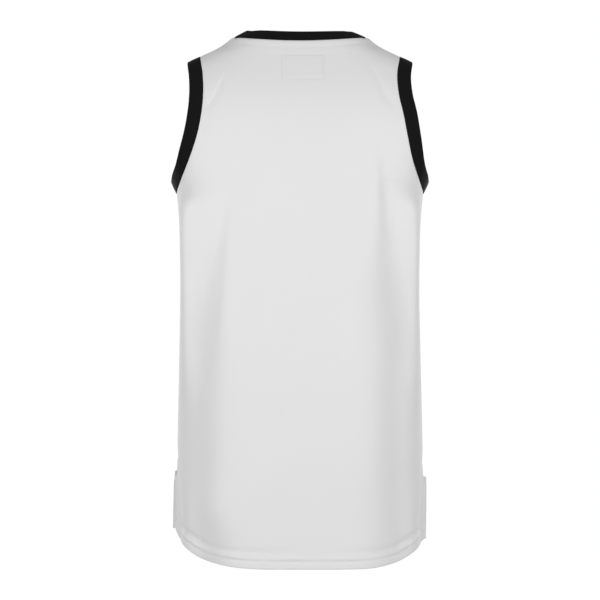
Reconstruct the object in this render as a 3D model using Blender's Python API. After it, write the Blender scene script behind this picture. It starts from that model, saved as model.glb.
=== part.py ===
"""A sleeveless basketball-style top as it looks when worn: two body panels, a neckband, two armhole
bands and a small label sewn inside the back of the neck.

The garment keeps the hollow form of the figure that fills it. The origin is midway between the two
high points of the shoulders, where the wearer carries it. +X is the wearer's left, -Y the front, +Z up.
"""

import math

import bpy
import numpy as np

# Sizes of the cloth, in metres. The bands keep a little more room, because their seams curve.
CLOTH = 0.0015
BAND_WALL = 0.0020
LABEL_WALL = 0.0008
SEAM_GAP = 0.0003
BAND_GAP = 0.00045

# Sizes of the cut, in metres. Heights are measured from the high points of the shoulders.
NECK_HALF_WIDTH = 0.098
BACK_NECK_DROP = 0.0091
FRONT_NECK_DROP = 0.095
FRONT_NECK_POWER = 1.7
NECKBAND_WIDTH = 0.0225
ARMBAND_WIDTH = 0.0205
SHOULDER_TIP = -0.0277
UNDERARM = -0.2300
BACK_HEM = -0.7655
FRONT_HEM = -0.7200

# The share of a panel's top edge, from its middle, that is neckline. The rest is shoulder seam.
NECK_SHARE = 2 / 3

# How finely the panels are divided, and how much their columns crowd towards the sides.
COLUMNS = 36
COLUMN_CROWDING = 0.45
FLAP_ROWS = 3
WAIST_ROWS = 7
YOKE_ROWS = 14
BAND_ROWS = 2

# The armhole bands stand out from the body at the underarm, this steeply and up to this height.
UNDERARM_LEAN = 0.28
LEAN_REACH = 0.028

# Over this distance in front of the shoulders the neckband comes down to lie on the chest.
COLLAR_FADE = 0.040

BACK = 1
FRONT = -1
SIDE_TURN = math.pi / 2
SURFACE_STEP = 1e-4


def table(columns, rows):
    """A small table as one array for each named column. The first column is the one it is read by."""
    return {name: np.array([row[i] for row in rows]) for i, name in enumerate(columns.split())}


# Level sections of the worn form. A higher flatness keeps the middle of a section flat for longer, and
# the roundness says how its sides close.
RINGS = table(
    "height half_width back_depth front_depth flatness roundness",
    [
        (-0.780, 0.1800, 0.1090, 0.1020, 7.0, 0.40),
        (-0.700, 0.1805, 0.1140, 0.1060, 7.0, 0.40),
        (-0.620, 0.1795, 0.1160, 0.1070, 7.0, 0.40),
        (-0.530, 0.1778, 0.1160, 0.1090, 10.0, 0.34),
        (-0.430, 0.1746, 0.1160, 0.1130, 32.0, 0.21),
        (-0.330, 0.1727, 0.1170, 0.1180, 48.0, 0.17),
        (-0.260, 0.1750, 0.1180, 0.1220, 30.0, 0.21),
        (-0.230, 0.1798, 0.1180, 0.1225, 7.5, 0.33),
        (-0.205, 0.1850, 0.1180, 0.1220, 6.5, 0.34),
        (-0.180, 0.1915, 0.1170, 0.1190, 6.5, 0.33),
        (-0.150, 0.2010, 0.1130, 0.1140, 6.5, 0.32),
        (-0.110, 0.2090, 0.1045, 0.1030, 6.0, 0.32),
        (-0.075, 0.2050, 0.0910, 0.0900, 5.2, 0.32),
        (-0.050, 0.1880, 0.0780, 0.0800, 4.2, 0.34),
        (-0.0277, 0.1455, 0.0665, 0.0670, 3.6, 0.36),
        (-0.015, 0.1180, 0.0610, 0.0590, 3.3, 0.38),
        (0.000, 0.0980, 0.0550, 0.0490, 3.0, 0.41),
        (0.012, 0.0760, 0.0500, 0.0380, 2.6, 0.44),
        (0.024, 0.0550, 0.0450, 0.0260, 2.2, 0.46),
    ],
)

# How far the armhole seams lie from the middle, at heights between the underarm and the shoulder tip.
ARMHOLES = table(
    "height back_left back_right front_left front_right",
    [
        (-0.230, 0.1798, 0.1798, 0.1798, 0.1798),
        (-0.213, 0.1708, 0.1712, 0.1690, 0.1690),
        (-0.185, 0.1580, 0.1604, 0.1500, 0.1500),
        (-0.155, 0.1474, 0.1534, 0.1390, 0.1390),
        (-0.120, 0.1402, 0.1470, 0.1330, 0.1330),
        (-0.090, 0.1378, 0.1406, 0.1315, 0.1315),
        (-0.060, 0.1394, 0.1392, 0.1345, 0.1345),
        (-0.0277, 0.1455, 0.1455, 0.1455, 0.1455),
    ],
)

# How steeply the neckband rises above level behind and over the shoulders, in degrees. It stands up most in
# the middle and lies lower at the wearer's right.
COLLAR = table(
    "across slope",
    [
        (-0.098, 24.0),
        (-0.084, 29.0),
        (-0.074, 33.5),
        (-0.060, 37.0),
        (-0.040, 40.0),
        (0.000, 42.0),
        (0.030, 42.0),
        (0.055, 40.5),
        (0.066, 38.5),
        (0.075, 35.0),
        (0.085, 31.0),
        (0.098, 29.5),
    ],
)

# How far the back hem rises towards each side, at turns round the form in degrees from the middle.
TAIL = table(
    "turn left_rise right_rise",
    [
        (0.0, 0.0000, 0.0000),
        (22.0, 0.0006, 0.0000),
        (37.0, 0.0038, 0.0010),
        (52.0, 0.0103, 0.0072),
        (66.0, 0.0224, 0.0178),
        (80.5, 0.0288, 0.0244),
        (86.2, 0.0302, 0.0256),
        (88.5, 0.0345, 0.0280),
        (90.0, 0.0435, 0.0319),
    ],
)

# The two lines on each side of the body beyond which the cloth falls away to the flanks: how far from the
# middle they run, how steep the cloth is there, and how far that spreads inwards and outwards.
FALL_COLUMNS = "height reach steepness inner outer"
FALLS = [
    (BACK, 1, table(FALL_COLUMNS, [
        (-0.780, 0.132, 0.90, 0.036, 0.012),
        (-0.725, 0.132, 0.85, 0.032, 0.013),
        (-0.680, 0.138, 0.72, 0.025, 0.014),
        (-0.620, 0.137, 0.74, 0.028, 0.020),
        (-0.526, 0.136, 0.80, 0.030, 0.018),
        (-0.470, 0.129, 0.90, 0.022, 0.022),
        (-0.412, 0.119, 0.84, 0.012, 0.032),
        (-0.355, 0.112, 0.70, 0.009, 0.027),
        (-0.298, 0.1065, 0.58, 0.006, 0.010),
        (-0.242, 0.099, 0.25, 0.005, 0.006),
        (-0.200, 0.096, 0.00, 0.004, 0.005),
    ])),
    (BACK, -1, table(FALL_COLUMNS, [
        (-0.780, 0.134, 0.68, 0.040, 0.016),
        (-0.667, 0.130, 0.68, 0.036, 0.019),
        (-0.582, 0.127, 0.70, 0.028, 0.022),
        (-0.497, 0.128, 0.83, 0.028, 0.026),
        (-0.440, 0.132, 0.90, 0.030, 0.028),
        (-0.384, 0.126, 0.88, 0.029, 0.027),
        (-0.327, 0.120, 0.82, 0.018, 0.018),
        (-0.270, 0.1165, 0.80, 0.008, 0.012),
        (-0.230, 0.114, 0.76, 0.004, 0.008),
        (-0.190, 0.1125, 0.35, 0.004, 0.006),
        (-0.155, 0.1125, 0.00, 0.004, 0.005),
    ])),
    (FRONT, 1, table(FALL_COLUMNS, [
        (-0.780, 0.130, 0.75, 0.036, 0.014),
        (-0.620, 0.134, 0.72, 0.030, 0.020),
        (-0.500, 0.132, 0.80, 0.028, 0.022),
        (-0.400, 0.122, 0.80, 0.018, 0.026),
        (-0.320, 0.112, 0.62, 0.010, 0.018),
        (-0.250, 0.104, 0.30, 0.006, 0.008),
        (-0.205, 0.100, 0.00, 0.004, 0.005),
    ])),
    (FRONT, -1, table(FALL_COLUMNS, [
        (-0.780, 0.134, 0.70, 0.038, 0.015),
        (-0.640, 0.130, 0.74, 0.030, 0.020),
        (-0.520, 0.128, 0.80, 0.027, 0.024),
        (-0.420, 0.124, 0.84, 0.025, 0.026),
        (-0.340, 0.116, 0.74, 0.017, 0.019),
        (-0.270, 0.110, 0.50, 0.009, 0.012),
        (-0.215, 0.106, 0.00, 0.004, 0.005),
    ])),
]

# Smaller soft troughs across the back and the chest: their ends, how far from the middle they run at the
# top, middle and bottom, the widths of their two walls, and their depth.
FOLDS = table(
    "side top bottom reach_top reach_middle reach_bottom inner outer depth",
    [
        (BACK, -0.330, -0.640, 0.034, 0.037, 0.046, 0.018, 0.018, 0.0022),
        (BACK, -0.300, -0.660, -0.056, -0.060, -0.066, 0.020, 0.020, 0.0022),
        (FRONT, -0.280, -0.640, -0.024, -0.032, -0.044, 0.020, 0.022, 0.0025),
        (FRONT, -0.340, -0.690, 0.052, 0.056, 0.066, 0.018, 0.020, 0.0022),
    ],
)
NARROW_TOP = 0.45
FADE_IN = 0.30
FADE_OUT = 0.25

# The side vents. Each panel's free edge flares sideways by one amount at the vent's top and by another at
# its foot, and stands off the plane of the side seams. The curl draws the section in before the edge.
VENTS = table(
    "wearer_side top back_top_flare back_foot_flare back_curl back_off "
    "front_top_flare front_foot_flare front_curl front_off",
    [
        (1, -0.632, -0.0030, 0.0025, 0.006, 0.002, 0.0045, 0.0058, 0.002, 0.010),
        (-1, -0.641, 0.0062, 0.0048, 0.004, 0.003, -0.0010, -0.0015, 0.002, 0.003),
    ],
)
VENT_ROWS = (-0.6445, -0.6405, -0.6355, -0.6315)
VENT_STEP = 0.003
FLARE_TURN = math.radians(88.6)
CURL_LENGTH, LIFT_LENGTH = 0.085, 0.022
PINCH_TURN, CURL_TURN = math.radians(60), math.radians(86.2)

# The label reaches this far to each side of the middle, and takes this many of the back panel's rows. It
# shares the panel's columns, except those nearer to its ends than this share of a column.
LABEL_RIGHT = -0.0354
LABEL_LEFT = 0.0264
LABEL_ROWS = 2
LABEL_COLUMN_ROOM = 0.2
LABEL_FIRST_ROW = FLAP_ROWS + len(VENT_ROWS) - 1 + WAIST_ROWS + 9


def smooth_step(share):
    """0 to 1 with level ends."""
    share = np.clip(share, 0, 1)
    return share * share * (3 - 2 * share)


def end_crowded(steps):
    """Shares from 0 to 1 in steps that are shorter towards both ends."""
    return (1 - np.cos(np.linspace(0, math.pi, steps + 1))) / 2


def column_at(source, name, place):
    """A table column at any place along its first column, on a cubic through its rows."""
    places, values = next(iter(source.values())), source[name]
    slopes = np.gradient(values, places)
    place = np.clip(place, places[0], places[-1])
    low = np.clip(np.searchsorted(places, place, side="right") - 1, 0, len(places) - 2)
    span = places[low + 1] - places[low]
    t = (place - places[low]) / span
    return (
        values[low] * (1 + 2 * t) * (1 - t) ** 2
        + values[low + 1] * t * t * (3 - 2 * t)
        + slopes[low] * span * t * (1 - t) ** 2
        - slopes[low + 1] * span * t * t * (1 - t)
    )


def unit(vectors):
    """Vectors of length 1."""
    return vectors / np.linalg.norm(vectors, axis=-1, keepdims=True)


def turn_of(reach, height):
    """The turn round the form, from the middle of a panel, at which a level section is reach wide."""
    return np.arcsin(np.clip(reach / column_at(RINGS, "half_width", height), -1, 1))


def fall_depth(side, across, height):
    """How far the flanks lie behind the flat middle of the back or the chest at a place."""
    drawn = np.zeros(np.broadcast(across, height).shape)
    for fall_side, wearer_side, fall in FALLS:
        if fall_side == side:
            away = across * wearer_side - column_at(fall, "reach", height)
            steepness = np.maximum(column_at(fall, "steepness", height), 0)
            inner, outer = column_at(fall, "inner", height), column_at(fall, "outer", height)
            spread = np.where(away > 0, outer, inner)
            drawn = drawn + steepness * (inner + spread * np.tanh(away / spread))
    return drawn


def fold_depth(side, across, height):
    """How far the soft troughs draw the cloth in at a place."""
    drawn = np.zeros(np.broadcast(across, height).shape)
    for i in np.flatnonzero(FOLDS["side"] == side):
        fold = {name: column[i] for name, column in FOLDS.items()}
        down = np.clip((fold["top"] - height) / (fold["top"] - fold["bottom"]), 0, 1)
        straight = fold["reach_top"] + (fold["reach_bottom"] - fold["reach_top"]) * down
        bow = fold["reach_middle"] - (fold["reach_top"] + fold["reach_bottom"]) / 2
        away = across - straight - bow * 4 * down * (1 - down)
        grown = NARROW_TOP + (1 - NARROW_TOP) * down
        width = np.where(away * np.sign(fold["reach_middle"]) > 0, fold["outer"], fold["inner"]) * grown
        fade = smooth_step(down / FADE_IN) * smooth_step((1 - down) / FADE_OUT)
        drawn = drawn + fold["depth"] * grown * fade * np.exp(-((away / width) ** 2))
    return drawn


def vent_edge(side, turn, height):
    """(beside, off): how far a free vent edge stands out sideways, and off the plane of the side seams. Both
    fade round the body. The curl draws the section in up to its last strip, which comes out again.
    """
    panel = "back_" if side == BACK else "front_"
    beside, off = np.zeros((2,) + np.broadcast(turn, height).shape)
    for i, wearer_side in enumerate(VENTS["wearer_side"]):
        vent = {name.removeprefix(panel): column[i] for name, column in VENTS.items()}
        near = np.clip((turn * wearer_side - FLARE_TURN) / (SIDE_TURN - FLARE_TURN), 0, 1) ** 2
        pinch = smooth_step((turn * wearer_side - PINCH_TURN) / (CURL_TURN - PINCH_TURN))
        strip = smooth_step((turn * wearer_side - CURL_TURN) / (SIDE_TURN - CURL_TURN))
        down = np.clip((vent["top"] - height) / (vent["top"] - FRONT_HEM), 0, 1)
        grown = smooth_step((vent["top"] - height) / CURL_LENGTH)
        lifted = smooth_step((vent["top"] - height) / LIFT_LENGTH)
        flare = (vent["top_flare"] + (vent["foot_flare"] - vent["top_flare"]) * down) * near
        flare = flare * smooth_step((vent["top"] - height) / VENT_STEP)
        beside = beside + wearer_side * (flare + vent["curl"] * grown * (strip - pinch))
        off = off + vent["off"] * lifted * near
    return beside, off


def cloth(side, turn, height):
    """The outer face of the garment: level sections, less the falls and the folds."""
    turn, height = np.broadcast_arrays(np.asarray(turn, float), np.asarray(height, float))
    depth = column_at(RINGS, "back_depth" if side == BACK else "front_depth", height)
    share = np.sin(turn)
    x = share * column_at(RINGS, "half_width", height)
    closing = np.clip(1 - np.abs(share) ** column_at(RINGS, "flatness", height), 0, 1)
    drawn = fall_depth(side, x, height) + fold_depth(side, x, height)
    out = closing ** column_at(RINGS, "roundness", height) * (depth - drawn)
    beside, off = vent_edge(side, turn, height)
    return np.stack([x + beside, side * (out + off), height], axis=-1)


def outward(side, turn, height):
    """The unit normals of the outer face, from the slopes of cloth(). At the side seams they lie in the
    plane that parts the back from the front.
    """
    last_turn = SIDE_TURN - 3 * SURFACE_STEP
    on_seam = np.abs(turn) > last_turn
    turn = np.clip(turn, -last_turn, last_turn)
    round_form = cloth(side, turn + SURFACE_STEP, height) - cloth(side, turn - SURFACE_STEP, height)
    up_form = cloth(side, turn, height + SURFACE_STEP) - cloth(side, turn, height - SURFACE_STEP)
    normal = side * np.cross(up_form, round_form)
    normal[..., 1] = np.where(on_seam, 0, normal[..., 1])
    return unit(normal)


def hem_height(side, turn):
    """The back has a rounded tail, and the front is cut straight."""
    if side == FRONT:
        return np.full(np.shape(turn), FRONT_HEM)
    left, right = (column_at(TAIL, name, np.degrees(np.abs(turn))) for name in ("left_rise", "right_rise"))
    return BACK_HEM + np.where(turn > 0, left, right)


def top_edge(side, u):
    """(reach, height) along a panel's top edge: shoulder seam, neckline, shoulder seam."""
    round_neck = np.clip(u / NECK_SHARE, -1, 1) * SIDE_TURN
    down_shoulder = np.clip((np.abs(u) - NECK_SHARE) / (1 - NECK_SHARE), 0, 1)
    if side == BACK:
        height = SHOULDER_TIP * down_shoulder - BACK_NECK_DROP * np.cos(round_neck) ** 2
        return column_at(RINGS, "half_width", height) * np.sin(round_neck), height
    scoop = FRONT_NECK_DROP * np.cos(round_neck) ** FRONT_NECK_POWER
    height = SHOULDER_TIP * down_shoulder - scoop
    on_seam = np.sign(u) * column_at(RINGS, "half_width", height)
    return np.where(down_shoulder > 0, on_seam, NECK_HALF_WIDTH * np.sin(round_neck)), height


def armhole_edge(side, wearer_side, v):
    """(reach, height) along one armhole seam, from the underarm to the shoulder tip."""
    height = UNDERARM + (SHOULDER_TIP - UNDERARM) * v
    name = ("back_" if side == BACK else "front_") + ("left" if wearer_side > 0 else "right")
    return wearer_side * column_at(ARMHOLES, name, height), height


def level_turn(u):
    """The turn of a column below the underarm. Columns crowd towards the sides."""
    return (u + COLUMN_CROWDING * np.sin(math.pi * u) / math.pi) * SIDE_TURN


def yoke_places(side, u, v):
    """(turn, height) above the underarm: a Coons patch between that level, the armhole seams and the top."""
    left_share = (1 + np.sin(level_turn(u))) / 2
    top = top_edge(side, u)
    bottom = column_at(RINGS, "half_width", UNDERARM) * np.sin(level_turn(u)), np.full(u.shape, UNDERARM)
    right_edge, left_edge = armhole_edge(side, -1, v), armhole_edge(side, 1, v)
    patch = []
    for t, b, r, l in zip(top, bottom, right_edge, left_edge):
        ruled = (1 - v) * b + v * t + (1 - left_share) * r + left_share * l
        right_corners = (1 - v) * b[0] + v * t[0]
        left_corners = (1 - v) * b[-1] + v * t[-1]
        patch.append(ruled - (1 - left_share) * right_corners - left_share * left_corners)
    return turn_of(*patch), patch[1]


def panel_places(side):
    """(turn, height) at each grid point of a panel, hem row first, wearer's right column first."""
    u = np.linspace(-1, 1, COLUMNS + 1)
    turn = level_turn(u)
    share_up = np.linspace(0, 1, FLAP_ROWS + 1)[:-1, None]
    flap = hem_height(side, turn) * (1 - share_up) + VENT_ROWS[0] * share_up
    levels = np.concatenate([VENT_ROWS, np.linspace(VENT_ROWS[-1], UNDERARM, WAIST_ROWS + 1)[1:-1]])
    skirt_height = np.vstack([flap, np.broadcast_to(levels[:, None], (len(levels), len(u)))])
    skirt_turn = np.broadcast_to(turn, skirt_height.shape)
    yoke_turn, yoke_height = yoke_places(side, u, end_crowded(YOKE_ROWS)[:, None])
    return np.vstack([skirt_turn, yoke_turn]), np.vstack([skirt_height, yoke_height])


def grid_faces(rows, columns, closed=False):
    """The quads of a grid of points, which may join up in its column direction."""
    index = np.arange(rows * columns).reshape(rows, columns)
    if closed:
        index = np.hstack([index, index[:, :1]])
    corners = [index[:-1, :-1], index[:-1, 1:], index[1:, 1:], index[1:, :-1]]
    return np.stack(corners, axis=-1).reshape(-1, 4)


def rim_faces(rows, columns, closed=False):
    """The quads that join an outer grid's border to the border of the inner grid that follows it."""
    index = np.arange(rows * columns).reshape(rows, columns)
    inner = rows * columns
    if closed:
        loops = [np.append(index[0], index[0, 0]), np.append(index[-1, ::-1], index[-1, -1])]
    else:
        loops = [np.concatenate([index[0], index[1:, -1], index[-1, -2::-1], index[-2::-1, 0]])]
    faces = [np.stack([loop[1:], loop[:-1], loop[:-1] + inner, loop[1:] + inner], axis=-1) for loop in loops]
    return np.vstack(faces)


def finish_material(name, colour, roughness):
    """A plain cloth finish."""
    material = bpy.data.materials.new(name)
    material.use_nodes = True
    shader = material.node_tree.nodes["Principled BSDF"]
    shader.inputs["Base Color"].default_value = (*colour, 1)
    shader.inputs["Roughness"].default_value = roughness
    shader.inputs["Metallic"].default_value = 0
    return material


def add_wall(name, outer, inner, material, closed=False):
    """One closed wall of cloth between an outer and an inner grid of points."""
    rows, columns = outer.shape[:2]
    skin = grid_faces(rows, columns, closed)
    faces = np.vstack([skin, skin[:, ::-1] + rows * columns, rim_faces(rows, columns, closed)])
    points = np.vstack([outer.reshape(-1, 3), inner.reshape(-1, 3)])
    mesh = bpy.data.meshes.new(name)
    mesh.from_pydata(points.tolist(), [], faces.tolist())
    mesh.materials.append(material)
    mesh.shade_smooth()
    mesh.set_sharp_from_angle(angle=math.radians(50))
    wall = bpy.data.objects.new(name, mesh)
    bpy.context.scene.collection.objects.link(wall)
    return wall


def add_panel(name, side, material):
    """A body panel, half a seam gap away from the plane of the side and shoulder seams."""
    turn, height = panel_places(side)
    outer = cloth(side, turn, height)
    inner = outer - CLOTH * outward(side, turn, height)
    gap = np.array([0, side * SEAM_GAP / 2, 0])
    outer, inner = outer + gap, inner + gap
    if side == BACK:
        outer, inner = outer[:, ::-1], inner[:, ::-1]
    return add_wall(name, outer, inner, material)


def band_frame(seam, normal, opening):
    """(ahead, across) at each point of a seam: along it, and over the cloth into the opening."""
    ahead = unit(np.roll(seam, -1, axis=0) - np.roll(seam, 1, axis=0))
    across = unit(np.cross(normal, ahead))
    return ahead, across * np.sign(np.sum(across * (opening - seam), axis=1, keepdims=True))


def collar_lean(seam, normal, ahead, across):
    """How much the neckband leans off the cloth behind and over the shoulders."""
    inward = unit(np.cross(ahead, [0, 0, 1]))
    inward = inward * np.sign(np.sum(inward * across, axis=1, keepdims=True))
    slope = np.radians(column_at(COLLAR, "slope", seam[:, :1]))
    aim = np.cos(slope) * inward + np.sin(slope) * np.array([0, 0, 1])
    lean = np.sum(aim * normal, axis=1) / np.sum(aim * across, axis=1)
    return (lean * smooth_step(1 + seam[:, 1] / COLLAR_FADE))[:, None]


def add_band(name, seam, normal, across, lean, width, material):
    """A flat band sewn to a closed seam. It starts square to the panels' edges, then leans."""
    out, off = unit(across + lean * normal), unit(normal - lean * across)
    reaches = width * np.linspace(0, 1, BAND_ROWS + 1)[:, None, None]
    outer = seam + BAND_GAP * across + reaches * out
    inner = outer - BAND_WALL * np.where(reaches > 0, off, normal)
    facing = np.cross(outer[0, 1] - outer[0, 0], outer[1, 0] - outer[0, 0]) @ normal[0]
    if facing < 0:
        outer, inner = outer[:, ::-1], inner[:, ::-1]
    return add_wall(name, outer, inner, material, closed=True)


def closed_seam(back_edge, front_edge):
    """(points, normals) round an opening, over the back edge and home along the front edge."""
    back = turn_of(*back_edge), back_edge[1]
    front = turn_of(*front_edge), front_edge[1]
    points = [cloth(BACK, *back), cloth(FRONT, *front)[1:-1][::-1]]
    normals = [outward(BACK, *back), outward(FRONT, *front)[1:-1][::-1]]
    return np.vstack(points), np.vstack(normals)


def add_neckband(material):
    """The neckband closes on itself, over both shoulders."""
    steps = np.linspace(-1, 1, COLUMNS + 1)
    u = steps[np.abs(steps) <= NECK_SHARE + 1e-9]
    seam, normal = closed_seam(top_edge(BACK, u), top_edge(FRONT, u))
    ahead, across = band_frame(seam, normal, seam.mean(axis=0))
    lean = collar_lean(seam, normal, ahead, across)
    return add_band("neckband", seam, normal, across, lean, NECKBAND_WIDTH, material)


def add_armhole_band(name, wearer_side, material):
    """An armhole band closes on itself, at the underarm and over the shoulder."""
    v = end_crowded(YOKE_ROWS)
    back, front = armhole_edge(BACK, wearer_side, v), armhole_edge(FRONT, wearer_side, v)
    seam, normal = closed_seam(back, front)
    opening = seam.mean(axis=0) + np.array([wearer_side * NECK_HALF_WIDTH, 0, 0])
    _, across = band_frame(seam, normal, opening)
    lean = UNDERARM_LEAN * smooth_step(1 - (seam[:, 2:] - UNDERARM) / LEAN_REACH)
    return add_band(name, seam, normal, across, lean, ARMBAND_WIDTH, material)


def add_label(material):
    """The label lies on the inner face of the back panel, on points taken along that panel's own rows."""
    turn, height = panel_places(BACK)
    rows = slice(LABEL_FIRST_ROW, LABEL_FIRST_ROW + LABEL_ROWS + 1)
    outer = cloth(BACK, turn[rows], height[rows])
    normal = outward(BACK, turn[rows], height[rows])
    panel_column = np.arange(COLUMNS + 1)
    near, into = [], []
    for row, row_normal in zip(outer, normal):
        ends = np.interp([LABEL_RIGHT, LABEL_LEFT], row[:, 0], panel_column)
        whole = panel_column[
            (panel_column > ends[0] + LABEL_COLUMN_ROOM) & (panel_column < ends[1] - LABEL_COLUMN_ROOM)
        ]
        columns = np.concatenate([ends[:1], whole, ends[1:]])
        near.append([np.interp(columns, panel_column, row[:, axis]) for axis in range(3)])
        into.append([np.interp(columns, panel_column, row_normal[:, axis]) for axis in range(3)])
    near, into = np.moveaxis(np.array(near), 1, -1)[:, ::-1], np.moveaxis(np.array(into), 1, -1)[:, ::-1]
    near = near - (CLOTH + SEAM_GAP) * into
    near[..., 1] += SEAM_GAP / 2
    return add_wall("neck_label", near, near - LABEL_WALL * into, material)


def main():
    for leftover in list(bpy.data.objects):
        bpy.data.objects.remove(leftover)
    body_cloth = finish_material("body_cloth", (0.80, 0.80, 0.80), 0.85)
    band_knit = finish_material("band_knit", (0.012, 0.012, 0.012), 0.80)
    label_tape = finish_material("label_tape", (0.74, 0.74, 0.73), 0.70)
    add_panel("back_panel", BACK, body_cloth)
    add_panel("front_panel", FRONT, body_cloth)
    add_neckband(band_knit)
    add_armhole_band("armhole_band_left", 1, band_knit)
    add_armhole_band("armhole_band_right", -1, band_knit)
    add_label(label_tape)


main()
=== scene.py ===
# %% [markdown]
# A sleeveless basketball-style top, filled out as it is when worn. The model has two panels of smooth
# white knit, a black neckband, two black armhole bands and a small bare label inside the back neck.
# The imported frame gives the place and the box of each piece. Everything here is in metres, with the
# origin between the high points of the shoulders, +X to the wearer's left and -Y to the front.

# %% Load the frame
import math

import bpy
import numpy as np
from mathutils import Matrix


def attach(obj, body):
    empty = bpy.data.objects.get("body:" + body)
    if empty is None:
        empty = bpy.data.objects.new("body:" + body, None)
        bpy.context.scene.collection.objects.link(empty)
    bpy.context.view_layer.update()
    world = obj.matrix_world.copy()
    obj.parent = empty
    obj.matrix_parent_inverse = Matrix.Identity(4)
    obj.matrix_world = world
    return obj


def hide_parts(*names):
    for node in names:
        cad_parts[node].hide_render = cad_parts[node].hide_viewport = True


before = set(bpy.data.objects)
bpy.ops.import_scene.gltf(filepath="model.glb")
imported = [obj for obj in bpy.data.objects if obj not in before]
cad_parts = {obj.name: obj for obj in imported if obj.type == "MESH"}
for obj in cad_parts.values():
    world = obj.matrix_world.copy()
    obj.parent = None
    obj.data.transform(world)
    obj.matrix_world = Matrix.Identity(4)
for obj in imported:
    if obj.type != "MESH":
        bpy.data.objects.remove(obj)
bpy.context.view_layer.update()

# %% [markdown]
# The photograph was taken from behind, square on, with a long lens at about the height of the waist.
# A camera needs a place, a direction and a lens. With a 36 mm sensor and a 120 mm lens the view is
# 0.3 times the distance across, so a distance of 2.94 m frames 0.882 m of the top's middle plane.

# %% Camera
CAMERA_DISTANCE = 2.94
CAMERA_HEIGHT = -0.3837


def add_object(name, data):
    """A new object in the scene, with a mesh, light or camera in it."""
    added = bpy.data.objects.new(name, data)
    bpy.context.scene.collection.objects.link(added)
    return added


camera_data = bpy.data.cameras.new("photo_camera")
camera_data.lens = 120
camera_data.sensor_width = 36
camera = add_object("photo_camera", camera_data)
camera.location = (0, CAMERA_DISTANCE, CAMERA_HEIGHT)
camera.rotation_euler = (math.radians(90), 0, math.radians(180))
bpy.context.scene.camera = camera
print("camera sees", CAMERA_DISTANCE * camera_data.sensor_width / camera_data.lens, "m across")

# %% [markdown]
# A worn top is a tube of cloth, and a tailor would record it as level sections: how wide it is, how far
# it stands out behind and in front, and how its corners turn. A short table holds those sections, and a
# smooth cubic through the rows gives every height between them. A sculpted mesh could look the same, but
# then no size could be read or changed.

# %% Tables of the worn form
def table(columns, rows):
    """A small table as one array for each named column. The first column is the one it is read by."""
    return {name: np.array([row[i] for row in rows]) for i, name in enumerate(columns.split())}


def column_at(source, name, place):
    """A table column at any place: a cubic through its rows, with slopes from the neighbouring rows."""
    places, values = next(iter(source.values())), source[name]
    slopes = np.gradient(values, places)
    place = np.clip(place, places[0], places[-1])
    low = np.clip(np.searchsorted(places, place, side="right") - 1, 0, len(places) - 2)
    span = places[low + 1] - places[low]
    t = (place - places[low]) / span
    return (
        values[low] * (1 + 2 * t) * (1 - t) ** 2
        + values[low + 1] * t * t * (3 - 2 * t)
        + slopes[low] * span * t * (1 - t) ** 2
        - slopes[low + 1] * span * t * t * (1 - t)
    )


def smooth_step(share):
    """0 to 1 with level ends: 3 s^2 - 2 s^3."""
    share = np.clip(share, 0, 1)
    return share * share * (3 - 2 * share)


def bell(distance, width):
    """exp(-(d / w)^2)."""
    return np.exp(-((distance / width) ** 2))


# A higher flatness keeps the middle of the section flat for longer. A roundness near 0.5 closes the sides
# in a round, and one near 1 lets front and back meet at an edge.
RINGS = table("height half_width back_depth front_depth flatness roundness", [
    (-0.780, 0.1800, 0.1090, 0.1020, 7.0, 0.40),
    (-0.700, 0.1805, 0.1140, 0.1060, 7.0, 0.40),
    (-0.620, 0.1795, 0.1160, 0.1070, 7.0, 0.40),
    (-0.530, 0.1778, 0.1160, 0.1090, 10.0, 0.34),
    (-0.430, 0.1746, 0.1160, 0.1130, 32.0, 0.21),
    (-0.330, 0.1727, 0.1170, 0.1180, 48.0, 0.17),
    (-0.260, 0.1750, 0.1180, 0.1220, 30.0, 0.21),
    (-0.230, 0.1798, 0.1180, 0.1225, 7.5, 0.33),
    (-0.205, 0.1850, 0.1180, 0.1220, 6.5, 0.34),
    (-0.180, 0.1915, 0.1170, 0.1190, 6.5, 0.33),
    (-0.150, 0.2010, 0.1130, 0.1140, 6.5, 0.32),
    (-0.110, 0.2090, 0.1045, 0.1030, 6.0, 0.32),
    (-0.075, 0.2050, 0.0910, 0.0900, 5.2, 0.32),
    (-0.050, 0.1880, 0.0780, 0.0800, 4.2, 0.34),
    (-0.0277, 0.1455, 0.0665, 0.0670, 3.6, 0.36),
    (-0.015, 0.1180, 0.0610, 0.0590, 3.3, 0.38),
    (0.000, 0.0980, 0.0550, 0.0490, 3.0, 0.41),
    (0.012, 0.0760, 0.0500, 0.0380, 2.6, 0.44),
    (0.024, 0.0550, 0.0450, 0.0260, 2.2, 0.46),
])
print(len(RINGS["height"]), "sections of the worn form")

# %% [markdown]
# The back and the chest stay flat between the shoulder blades, and beyond them the cloth falls away to the
# flanks along two long slanting lines. Each fall has its own table: how far from the middle its steepest
# line runs at each height, how steep it is there, and how far that steepness spreads inwards and outwards.

# %% Falls towards the flanks
BACK = 1
FRONT = -1

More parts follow.
